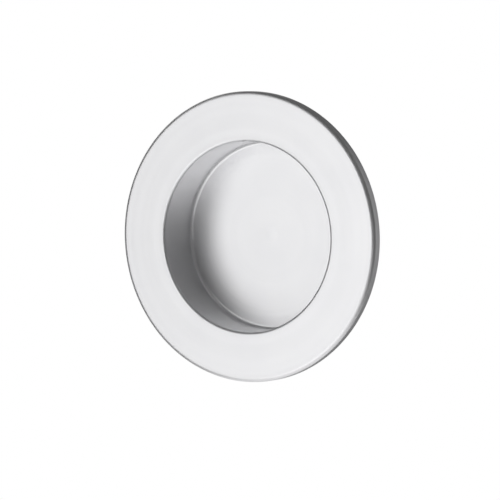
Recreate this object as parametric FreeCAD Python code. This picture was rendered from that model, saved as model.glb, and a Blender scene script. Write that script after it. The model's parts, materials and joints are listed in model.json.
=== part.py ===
import FreeCAD, Part
import os

# Round flush pull for a pocket door: one turned aluminium cup with a flat flange.
# Millimetres. The axis lies along Y, the flange faces -Y and +Z is up. The origin is on the
# axis, in the plane where the back of the flange seats on the door.

# Finger recess: a straight wall, a broken edge at the mouth and a fillet round the flat floor.
recess_diameter = 39.4
recess_depth = 10.5
mouth_break = 0.45
floor_fillet = 0.7

# Cup walls behind the flange.
side_wall = 2.7
floor_wall = 1.8

# Flange that covers the edge of the hole in the door.
flange_overhang = 7.6
flange_thickness = 2.5
rim_round = 0.9
rim_back_break = 0.25

# Outside of the cup, which is glued into the hole.
lead_in = 0.8
glue_groove_width = 1.5
glue_groove_depth = 0.4
glue_groove_pitch = 3.2

# Shallow ring turned into the back of the flange, so that it clears the burr at the hole's edge.
relief_width = 1.6
relief_depth = 0.3

recess_radius = recess_diameter / 2
barrel_radius = recess_radius + side_wall
flange_radius = barrel_radius + flange_overhang
face_y = -flange_thickness
floor_y = face_y + recess_depth
back_y = floor_y + floor_wall


def point(radius, y):
    """A point of the half section: distance from the axis, and depth into the door."""
    return FreeCAD.Vector(radius, y, 0)


def arc(start, end, centre):
    """The shorter arc from start to end about centre."""
    towards_middle = (start - centre) + (end - centre)
    middle = centre + towards_middle.normalize() * (start - centre).Length
    return Part.Arc(start, middle, end).toShape()


def path(*points):
    """Straight edges through the points in order."""
    return [Part.makeLine(a, b) for a, b in zip(points, points[1:])]


def recess_edges():
    """Floor, fillet, straight wall and broken mouth edge, from the axis out to the front face."""
    floor_end = point(recess_radius - floor_fillet, floor_y)
    wall_foot = point(recess_radius, floor_y - floor_fillet)
    return [
        *path(point(0, floor_y), floor_end),
        arc(floor_end, wall_foot, point(recess_radius - floor_fillet, floor_y - floor_fillet)),
        *path(
            wall_foot,
            point(recess_radius, face_y + mouth_break),
            point(recess_radius + mouth_break, face_y),
        ),
    ]


def flange_edges():
    """Front face, rounded rim, seating face and the relief round the barrel's foot."""
    face_end = point(flange_radius - rim_round, face_y)
    rim_start = point(flange_radius, face_y + rim_round)
    return [
        *path(point(recess_radius + mouth_break, face_y), face_end),
        arc(face_end, rim_start, point(flange_radius - rim_round, face_y + rim_round)),
        *path(
            rim_start,
            point(flange_radius, -rim_back_break),
            point(flange_radius - rim_back_break, 0),
            point(barrel_radius + relief_width, 0),
            point(barrel_radius + relief_width, -relief_depth),
            point(barrel_radius, -relief_depth),
        ),
    ]


def groove_centres():
    """Depths of the glue grooves: as many as the straight barrel holds, evenly spaced on it."""
    straight_end = back_y - lead_in
    count = int(straight_end / glue_groove_pitch)
    first = (straight_end - (count - 1) * glue_groove_pitch) / 2
    return [first + i * glue_groove_pitch for i in range(count)]


def barrel_edges():
    """Barrel with square glue grooves, lead-in and back face, in to the axis."""
    corners = [point(barrel_radius, -relief_depth)]
    for y in groove_centres():
        start = y - glue_groove_width / 2
        end = y + glue_groove_width / 2
        bottom_radius = barrel_radius - glue_groove_depth
        corners += [
            point(barrel_radius, start),
            point(bottom_radius, start),
            point(bottom_radius, end),
            point(barrel_radius, end),
        ]
    return path(
        *corners,
        point(barrel_radius, back_y - lead_in),
        point(barrel_radius - lead_in, back_y),
        point(0, back_y),
        point(0, floor_y),
    )


def flush_cup():
    """The whole pull, as its half section turned once round the Y axis."""
    section = Part.Wire([*recess_edges(), *flange_edges(), *barrel_edges()])
    return Part.Face(section).revolve(FreeCAD.Vector(0, 0, 0), FreeCAD.Vector(0, 1, 0), 360)


os.makedirs("parts", exist_ok=True)
cup = flush_cup()
cup.exportStep("parts/flush_cup.step")
print(f"flush_cup: valid {cup.isValid()}, {cup.Volume:.0f} cubic mm")
print(f"flange {2 * flange_radius:.1f} across, barrel {2 * barrel_radius:.1f} by {back_y:.1f} long")
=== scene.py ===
"""Looks of a round flush pull for a pocket door: one turned cup in satin anodised aluminium.

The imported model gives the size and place. The cup is turned here again, with round edges fine
enough for a close view. It hangs over a pale floor in a white room, among dark and bright cards
that the metal reflects. Lengths are in metres, but for names that end in _mm.
"""

from __future__ import annotations

import json
import logging
import math
from dataclasses import dataclass
from enum import Enum
from typing import Any

import bmesh
import bpy
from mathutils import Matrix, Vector

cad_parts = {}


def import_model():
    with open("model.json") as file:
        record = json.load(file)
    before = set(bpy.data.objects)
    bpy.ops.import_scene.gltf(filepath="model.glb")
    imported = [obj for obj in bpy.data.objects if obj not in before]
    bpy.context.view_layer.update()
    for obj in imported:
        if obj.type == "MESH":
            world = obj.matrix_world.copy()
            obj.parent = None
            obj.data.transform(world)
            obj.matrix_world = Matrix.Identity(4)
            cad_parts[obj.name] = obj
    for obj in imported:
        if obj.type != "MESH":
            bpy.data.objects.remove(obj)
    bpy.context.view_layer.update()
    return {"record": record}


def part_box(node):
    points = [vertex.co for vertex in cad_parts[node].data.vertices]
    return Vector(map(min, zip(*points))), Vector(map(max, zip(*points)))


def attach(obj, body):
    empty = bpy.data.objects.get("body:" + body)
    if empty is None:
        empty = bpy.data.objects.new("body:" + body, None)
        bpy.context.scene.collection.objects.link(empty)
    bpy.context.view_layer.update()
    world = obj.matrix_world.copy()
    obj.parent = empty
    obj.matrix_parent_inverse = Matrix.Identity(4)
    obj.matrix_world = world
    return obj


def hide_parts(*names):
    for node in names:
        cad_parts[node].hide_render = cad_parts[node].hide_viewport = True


MM = 0.001
PICTURE_PX = 500
TURN = 2 * math.pi
WHITE = "#FFFFFF"

log = logging.getLogger("flush_pull")


def linear(hex_colour: str) -> tuple[float, float, float, float]:
    """Turn an sRGB hex colour into linear RGBA.

    Args:
        hex_colour: Six hex digits after a number sign.

    Returns:
        Linear red, green and blue, and an alpha of one.
    """
    levels = [int(hex_colour[i : i + 2], 16) / 255 for i in (1, 3, 5)]
    red, green, blue = (
        v / 12.92 if v <= 0.04045 else ((v + 0.055) / 1.055) ** 2.4 for v in levels
    )
    return red, green, blue, 1.0


def add_node(
    tree: bpy.types.NodeTree,
    kind: str,
    values: dict[str | int, Any] | None = None,
    links: dict[str | int, bpy.types.NodeSocket] | None = None,
    **settings: Any,
) -> bpy.types.Node:
    """Add a node to a tree, with its settings, socket values and incoming links.

    Args:
        tree: The node tree that gets the node.
        kind: The node's type name.
        values: Input socket name or number, and the value it is set to.
        links: Input socket name or number, and the output that feeds it.
        settings: Properties of the node itself.

    Returns:
        The new node.
    """
    node = tree.nodes.new(kind)
    for name, value in settings.items():
        setattr(node, name, value)
    for socket, value in (values or {}).items():
        node.inputs[socket].default_value = value
    for socket, source in (links or {}).items():
        tree.links.new(source, node.inputs[socket])
    return node


def empty_tree(owner: bpy.types.Material | bpy.types.World) -> bpy.types.NodeTree:
    """Give a material or world a node tree with nothing in it.

    Args:
        owner: The material or world.

    Returns:
        Its empty tree.
    """
    owner.use_nodes = True
    owner.node_tree.nodes.clear()
    return owner.node_tree


def deselect_all() -> None:
    """Leave nothing selected, so that an operator acts only on what follows."""
    bpy.ops.object.select_all(action="DESELECT")


def direction(azimuth_deg: float, elevation_deg: float) -> Vector:
    """Find the way from the pull towards something round it.

    Args:
        azimuth_deg: Angle from straight out of the pull's front, positive to its right.
        elevation_deg: Angle up from level.

    Returns:
        A vector one metre long.
    """
    azimuth, elevation = math.radians(azimuth_deg), math.radians(elevation_deg)
    level = math.cos(elevation)
    return Vector((math.sin(azimuth) * level, -math.cos(azimuth) * level, math.sin(elevation)))


@dataclass(frozen=True)
class AnodisedAluminium:
    """Natural anodised aluminium, turned on a lathe and then satin etched.

    The etch gives it a soft, broad reflection. Under it the tool's feed leaves fine rings about
    the axis. They are drawn coarser than real ones, so that they just show.
    """

    pale: str = "#EEEEEF"
    deep: str = "#E8E8EA"
    roughness_low: float = 0.40
    roughness_high: float = 0.46
    ring_pitch_mm: float = 0.9
    ring_height_mm: float = 0.010
    grain_mm: float = 0.35
    grain_height_mm: float = 0.006
    cloud_mm: float = 9.0

    def make(self) -> bpy.types.Material:
        """Build the material, with its rings about the Y axis.

        Returns:
            The finished material.
        """
        material = bpy.data.materials.new("satin_anodised_aluminium")
        tree = empty_tree(material)
        place = add_node(tree, "ShaderNodeTexCoord").outputs["Object"]
        rings = self.rings(tree, place)
        grain = self.noise(tree, place, self.grain_mm, detail=2.0)
        cloud = self.noise(tree, place, self.cloud_mm, detail=1.0)
        colour = add_node(
            tree,
            "ShaderNodeMixRGB",
            {"Color1": linear(self.deep), "Color2": linear(self.pale)},
            {"Fac": cloud},
        )
        roughness = add_node(
            tree,
            "ShaderNodeMapRange",
            {"To Min": self.roughness_low, "To Max": self.roughness_high},
            {"Value": rings},
        )
        ring_bump = add_node(
            tree,
            "ShaderNodeBump",
            {"Strength": 1.0, "Distance": self.ring_height_mm * MM},
            {"Height": rings},
        )
        grain_bump = add_node(
            tree,
            "ShaderNodeBump",
            {"Strength": 1.0, "Distance": self.grain_height_mm * MM},
            {"Height": grain, "Normal": ring_bump.outputs["Normal"]},
        )
        shader = add_node(
            tree,
            "ShaderNodeBsdfPrincipled",
            {"Metallic": 1.0},
            {
                "Base Color": colour.outputs["Color"],
                "Roughness": roughness.outputs["Result"],
                "Normal": grain_bump.outputs["Normal"],
            },
        )
        add_node(tree, "ShaderNodeOutputMaterial", links={"Surface": shader.outputs["BSDF"]})
        return material

    def noise(
        self,
        tree: bpy.types.NodeTree,
        place: bpy.types.NodeSocket,
        size_mm: float,
        detail: float,
        dimensions: str = "3D",
    ) -> bpy.types.NodeSocket:
        """Soft noise of a real size.

        Args:
            tree: The material's node tree.
            place: The coordinates that it follows, in metres.
            size_mm: How far apart its spots lie.
            detail: How much finer noise lies on it.
            dimensions: The noise node's own name for its kind of space.

        Returns:
            The noise, from nought to one.
        """
        return add_node(
            tree,
            "ShaderNodeTexNoise",
            {"Scale": 1 / (size_mm * MM), "Detail": detail},
            {"Vector": place},
            noise_dimensions=dimensions,
        ).outputs["Fac"]

    def rings(
        self, tree: bpy.types.NodeTree, place: bpy.types.NodeSocket
    ) -> bpy.types.NodeSocket:
        """Noise that changes with the distance from the axis and along it, but not round it.

        Args:
            tree: The material's node tree.
            place: Object coordinates.

        Returns:
            The noise, from nought to one.
        """
        parts = add_node(tree, "ShaderNodeSeparateXYZ", links={"Vector": place}).outputs
        flat = add_node(tree, "ShaderNodeCombineXYZ", links={"X": parts["X"], "Y": parts["Z"]})
        radius = add_node(
            tree, "ShaderNodeVectorMath", links={0: flat.outputs["Vector"]}, operation="LENGTH"
        )
        section = add_node(
            tree,
            "ShaderNodeCombineXYZ",
            links={"X": radius.outputs["Value"], "Y": parts["Y"]},
        )
        return self.noise(
            tree, section.outputs["Vector"], self.ring_pitch_mm, detail=1.0, dimensions="2D"
        )


@dataclass
class FlushCup:
    """The pull itself: flange, recess and barrel, turned in one piece about the Y axis.

    The flange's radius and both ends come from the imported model, the barrel's radius from its
    mount. The cutting tool leaves a low round pip in the middle of the recess floor.
    """

    flange_radius: float
    barrel_radius: float
    face_y: float
    back_y: float
    seat_y: float = 0.0
    recess_radius: float = 19.7 * MM
    recess_depth: float = 10.5 * MM
    mouth_round: float = 0.6 * MM
    floor_fillet: float = 0.7 * MM
    rim_round: float = 0.9 * MM
    rim_back_break: float = 0.25 * MM
    lead_in: float = 0.8 * MM
    relief_width: float = 1.6 * MM
    relief_depth: float = 0.3 * MM
    groove_width: float = 1.5 * MM
    groove_depth: float = 0.4 * MM
    groove_pitch: float = 3.2 * MM
    pip_radius: float = 2.0 * MM
    pip_height: float = 0.035 * MM
    pip_steps: int = 6
    facets_round: int = 256
    round_steps: int = 10
    mouth_steps: int = 8
    break_steps: int = 3
    merge_within: float = 0.002 * MM
    flat_below_deg: float = 30.0

    def corners(self) -> list[tuple[float, float]]:
        """The crisp half section, from the floor's middle round the outside to the back.

        Returns:
            Distance from the axis and depth along it, point by point.
        """
        floor_y = self.face_y + self.recess_depth
        relief_radius = self.barrel_radius + self.relief_width
        points = [
            (
                self.pip_radius * step / self.pip_steps,
                floor_y - self.pip_height * (1 + math.cos(math.pi * step / self.pip_steps)) / 2,
            )
            for step in range(self.pip_steps + 1)
        ]
        points += [
            (self.recess_radius, floor_y),
            (self.recess_radius, self.face_y),
            (self.flange_radius, self.face_y),
            (self.flange_radius, self.seat_y),
            (relief_radius, self.seat_y),
            (relief_radius, self.seat_y - self.relief_depth),
            (self.barrel_radius, self.seat_y - self.relief_depth),
        ]
        straight_end = self.back_y - self.lead_in
        count = int(straight_end / self.groove_pitch)
        first = (straight_end - (count - 1) * self.groove_pitch) / 2
        groove_radius = self.barrel_radius - self.groove_depth
        for i in range(count):
            start = first + i * self.groove_pitch - self.groove_width / 2
            end = start + self.groove_width
            points += [
                (self.barrel_radius, start),
                (groove_radius, start),
                (groove_radius, end),
                (self.barrel_radius, end),
            ]
        points += [(self.barrel_radius, self.back_y), (0.0, self.back_y)]
        return points

    def turn(self, name: str) -> bpy.types.Object:
        """Draw the half section from one vertex, and spin it round the axis.

        Args:
            name: The new object's name.

        Returns:
            The crisp-edged cup.
        """
        points = [Vector((radius, y, 0.0)) for radius, y in self.corners()]
        deselect_all()
        bpy.ops.mesh.primitive_plane_add(size=1 * MM, location=points[0])
        cup = bpy.context.object
        cup.name = name
        bpy.ops.object.transform_apply(location=True)
        bpy.ops.object.mode_set(mode="EDIT")
        bpy.ops.mesh.select_mode(type="VERT")
        bpy.ops.mesh.merge(type="CENTER")
        for here, there in zip(points, points[1:]):
            bpy.ops.mesh.extrude_region_move(TRANSFORM_OT_translate={"value": there - here})
        bpy.ops.mesh.select_all(action="SELECT")
        bpy.ops.mesh.spin(
            steps=self.facets_round, angle=TURN, center=(0, 0, 0), axis=(0, 1, 0)
        )
        bpy.ops.mesh.select_all(action="SELECT")
        bpy.ops.mesh.remove_doubles(threshold=self.merge_within)
        bpy.ops.mesh.normals_make_consistent(inside=False)
        return cup

    def round_edge(
        self, cup: bpy.types.Object, radius: float, y: float, width: float, segments: int
    ) -> None:
        """Bevel the circular edge at a place of the section. The cup is in edit mode.

        Args:
            cup: The cup.
            radius: The edge's distance from the axis.
            y: The edge's place along the axis.
            width: How far the bevel reaches from the edge.
            segments: Steps across the bevel: one is a flat chamfer.
        """
        near = 0.01 * MM
        bpy.ops.mesh.select_all(action="DESELECT")
        bpy.ops.mesh.select_mode(type="EDGE")
        mesh = bmesh.from_edit_mesh(cup.data)
        for edge in mesh.edges:
            edge.select = all(
                abs(math.hypot(v.co.x, v.co.z) - radius) < near and abs(v.co.y - y) < near
                for v in edge.verts
            )
        mesh.select_flush(True)
        bmesh.update_edit_mesh(cup.data)
        bpy.ops.mesh.bevel(offset=width, offset_type="OFFSET", segments=segments, affect="EDGES")

    def build(self, name: str) -> bpy.types.Object:
        """Turn the cup and round its edges.

        Args:
            name: The new object's name.

        Returns:
            The cup, smooth, with flat faces kept flat.
        """
        cup = self.turn(name)
        floor_y = self.face_y + self.recess_depth
        for radius, y, width, segments in (
            (self.recess_radius, floor_y, self.floor_fillet, self.round_steps),
            (self.recess_radius, self.face_y, self.mouth_round, self.mouth_steps),
            (self.flange_radius, self.face_y, self.rim_round, self.round_steps),
            (self.flange_radius, self.seat_y, self.rim_back_break, self.break_steps),
            (self.barrel_radius, self.back_y, self.lead_in, 1),
        ):
            self.round_edge(cup, radius, y, width, segments)
        bpy.ops.object.mode_set(mode="OBJECT")
        bpy.ops.object.shade_smooth_by_angle(angle=math.radians(self.flat_below_deg))
        weighted = cup.modifiers.new("flat_faces", "WEIGHTED_NORMAL")
        weighted.keep_sharp = True
        bpy.ops.object.modifier_apply(modifier=weighted.name)
        return cup


class Tone(Enum):
    """How bright a card is. The white of the room is one."""

    BRIGHT = 1.5
    DARK = 0.1


class Edge(Enum):
    """The share of a card's half width, inwards from its rim, over which it fades away."""

    SOFT = 0.75
    FIRM = 0.45


@dataclass(frozen=True)
class Card:
    """A flat card that faces the pull and shows only in its metal, as a dark or bright patch."""

    name: str
    azimuth_deg: float
    elevation_deg: float
    width: float
    height: float
    tone: Tone
    edge: Edge

    def hang(self, subject: Vector, distance: float) -> bpy.types.Object:
        """Put the card in its place, facing the pull.

        Args:
            subject: The middle of the cup's front face.
            distance: How far from it the card hangs.

        Returns:
            The card.
        """
        towards = direction(self.azimuth_deg, self.elevation_deg)
        deselect_all()
        bpy.ops.mesh.primitive_plane_add(size=1)
        card = bpy.context.object
        card.name = self.name
        card.location = subject + towards * distance
        card.rotation_euler = towards.to_track_quat("Z", "Y").to_euler()
        card.scale = (self.width, self.height, 1.0)
        card.visible_camera = False
        card.visible_diffuse = False
        card.data.materials.append(self.material())
        return card

    def material(self) -> bpy.types.Material:
        """Matt paper whose edges fade out. It is found by reflected rays alone."""
        material = bpy.data.materials.new(self.name)
        tree = empty_tree(material)
        place = add_node(tree, "ShaderNodeTexCoord").outputs["Object"]
        out = add_node(tree, "ShaderNodeVectorMath", links={0: place}, operation="ABSOLUTE")
        parts = add_node(tree, "ShaderNodeSeparateXYZ", links={"Vector": out.outputs["Vector"]})
        rim = 0.5
        fades = [
            add_node(
                tree,
                "ShaderNodeMapRange",
                {"From Min": rim, "From Max": rim * (1 - self.edge.value)},
                {"Value": parts.outputs[axis]},
                interpolation_type="SMOOTHSTEP",
            )
            for axis in ("X", "Y")
        ]
        share = add_node(
            tree,
            "ShaderNodeMath",
            links={i: fade.outputs["Result"] for i, fade in enumerate(fades)},
            operation="MULTIPLY",
        )
        clear = add_node(tree, "ShaderNodeBsdfTransparent")
        glow = add_node(
            tree, "ShaderNodeEmission", {"Color": linear(WHITE), "Strength": self.tone.value}
        )
        mixed = add_node(
            tree,
            "ShaderNodeMixShader",
            links={
                "Fac": share.outputs["Value"],
                1: clear.outputs["BSDF"],
                2: glow.outputs["Emission"],
            },
        )
        add_node(tree, "ShaderNodeOutputMaterial", links={"Surface": mixed.outputs["Shader"]})
        material.cycles.emission_sampling = "NONE"
        return material


@dataclass(frozen=True)
class Floor:
    """A round matt floor that takes a soft shadow, and fades into the room's white outwards."""

    colour: str = "#EFEFEF"
    drop: float = 2.4
    radius: float = 10.0
    fade_from: float = 4.2
    fade_to: float = 9.6
    sides: int = 128

    def lay(self, subject: Vector) -> bpy.types.Object:
        """Lay the floor under the pull.

        Args:
            subject: The middle of the cup's front face.

        Returns:
            The floor.
        """
        deselect_all()
        bpy.ops.mesh.primitive_circle_add(
            vertices=self.sides,
            radius=self.radius,
            fill_type="NGON",
            location=(0, 0, subject.z - self.drop),
        )
        floor = bpy.context.object
        floor.name = "floor"
        floor.data.materials.append(self.material())
        return floor

    def material(self) -> bpy.types.Material:
        """Pale matt paint. What looks at it, or mirrors it, sees its outer part as white."""
        material = bpy.data.materials.new("pale_matt_floor")
        tree = empty_tree(material)
        place = add_node(tree, "ShaderNodeTexCoord").outputs["Object"]
        away = add_node(tree, "ShaderNodeVectorMath", links={0: place}, operation="LENGTH")
        faded = add_node(
            tree,
            "ShaderNodeMapRange",
            {"From Min": self.fade_from, "From Max": self.fade_to},
            {"Value": away.outputs["Value"]},
            interpolation_type="SMOOTHSTEP",
        )
        ray = add_node(tree, "ShaderNodeLightPath").outputs
        seen = add_node(
            tree,
            "ShaderNodeMath",
            links={0: ray["Is Camera Ray"], 1: ray["Is Glossy Ray"]},
            operation="ADD",
        )
        shown = add_node(
            tree,
            "ShaderNodeMath",
            links={0: seen.outputs["Value"], 1: ray["Is Transmission Ray"]},
            operation="ADD",
            use_clamp=True,
        )
        share = add_node(
            tree,
            "ShaderNodeMath",
            links={0: faded.outputs["Result"], 1: shown.outputs["Value"]},
            operation="MULTIPLY",
        )
        paint = add_node(tree, "ShaderNodeBsdfDiffuse", {"Color": linear(self.colour)})
        white = add_node(tree, "ShaderNodeEmission", {"Color": linear(WHITE), "Strength": 1.0})
        mixed = add_node(
            tree,
            "ShaderNodeMixShader",
            links={
                "Fac": share.outputs["Value"],
                1: paint.outputs["BSDF"],
                2: white.outputs["Emission"],
            },
        )
        add_node(tree, "ShaderNodeOutputMaterial", links={"Surface": mixed.outputs["Shader"]})
        material.cycles.emission_sampling = "NONE"
        return material


@dataclass(frozen=True)
class Studio:
    """The camera, a white room without corners, its floor and its cards.

    The flat face mirrors what lies in front and to the left, so the bright card hangs in front, a
    little to the left. The recess wall and the rim mirror the camera's side and what is behind,
    so the rest are dark. The cards are listed from the farthest in, each one layer nearer than
    the one before it. The camera's angles and the pull's place in the picture were measured from
    the outline of its rim.
    """

    azimuth_deg: float = 30.45
    elevation_deg: float = 2.88
    distance: float = 0.6
    px_per_mm: float = 4.857
    subject_px: tuple[float, float] = (245.6, 237.1)
    sensor_mm: float = 36.0
    sees_from: float = 0.01
    sees_to: float = 20.0
    floor: Floor = Floor()
    farthest_card: float = 2.2
    layer_step: float = 0.1
    cards: tuple[Card, ...] = (
        Card("dark_above", 0, 90, 6.0, 6.0, Tone.DARK, Edge.FIRM),
        Card("bright_front", -10, 0, 5.0, 10.0, Tone.BRIGHT, Edge.SOFT),
        Card("dark_left", -75, 0, 6.0, 8.0, Tone.DARK, Edge.SOFT),
        Card("dark_above_camera", 20, 15, 5.0, 5.0, Tone.DARK, Edge.SOFT),
        Card("dark_right", 90, 0, 6.0, 8.0, Tone.DARK, Edge.SOFT),
        Card("dark_behind", 180, 0, 4.0, 8.0, Tone.DARK, Edge.SOFT),
    )

    def camera(self, subject: Vector) -> bpy.types.Object:
        """Place the camera so that the subject lies at its place in the picture.

        Args:
            subject: The middle of the cup's front face.

        Returns:
            The camera.
        """
        back = direction(self.azimuth_deg, self.elevation_deg)
        right = direction(self.azimuth_deg + 90, 0)
        up = back.cross(right)
        middle = PICTURE_PX / 2
        off_right = (middle - self.subject_px[0]) / self.px_per_mm * MM
        off_up = (self.subject_px[1] - middle) / self.px_per_mm * MM
        aim = subject + right * off_right + up * off_up
        place = subject + back * self.distance
        data = bpy.data.cameras.new("camera")
        data.sensor_width = self.sensor_mm
        data.lens = self.px_per_mm / MM * self.distance / PICTURE_PX * self.sensor_mm
        data.clip_start = self.sees_from
        data.clip_end = self.sees_to
        camera = bpy.data.objects.new("camera", data)
        bpy.context.scene.collection.objects.link(camera)
        camera.location = place
        camera.rotation_euler = (aim - place).to_track_quat("-Z", "Y").to_euler()
        bpy.context.scene.camera = camera
        return camera

    def room(self) -> bpy.types.World:
        """White all round, seen by every ray. Like the cards, it is never sampled as a lamp."""
        world = bpy.data.worlds.new("white_room")
        bpy.context.scene.world = world
        tree = empty_tree(world)
        white = add_node(
            tree, "ShaderNodeBackground", {"Color": linear(WHITE), "Strength": 1.0}
        )
        add_node(tree, "ShaderNodeOutputWorld", links={"Surface": white.outputs["Background"]})
        world.cycles.sampling_method = "NONE"
        return world

    def set_up(self, subject: Vector) -> None:
        """Furnish the room round the pull.

        Args:
            subject: The middle of the cup's front face.
        """
        self.room()
        self.camera(subject)
        self.floor.lay(subject)
        for layer, card in enumerate(self.cards):
            card.hang(subject, self.farthest_card - layer * self.layer_step)


def main() -> None:
    """Load the frame, build and dress the cup, and set up the studio."""
    logging.basicConfig(level=logging.INFO, format="%(name)s: %(message)s")
    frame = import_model()
    bpy.context.scene.view_settings.view_transform = "Standard"

    low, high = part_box("flush_cup")
    mounts = {mount["name"]: mount for mount in frame["record"]["mounts"]}
    barrel_radius = mounts["barrel"]["dims"]["r_mm"] * MM
    shape = FlushCup(high.x, barrel_radius, low.y, high.y)
    cup = shape.build("turned_flush_cup")
    cup.data.materials.append(AnodisedAluminium().make())
    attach(cup, "root")
    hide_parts("flush_cup")
    log.info("%s: %d faces", cup.name, len(cup.data.polygons))

    Studio().set_up(Vector((0.0, low.y, 0.0)))


if __name__ == "__main__":
    main()
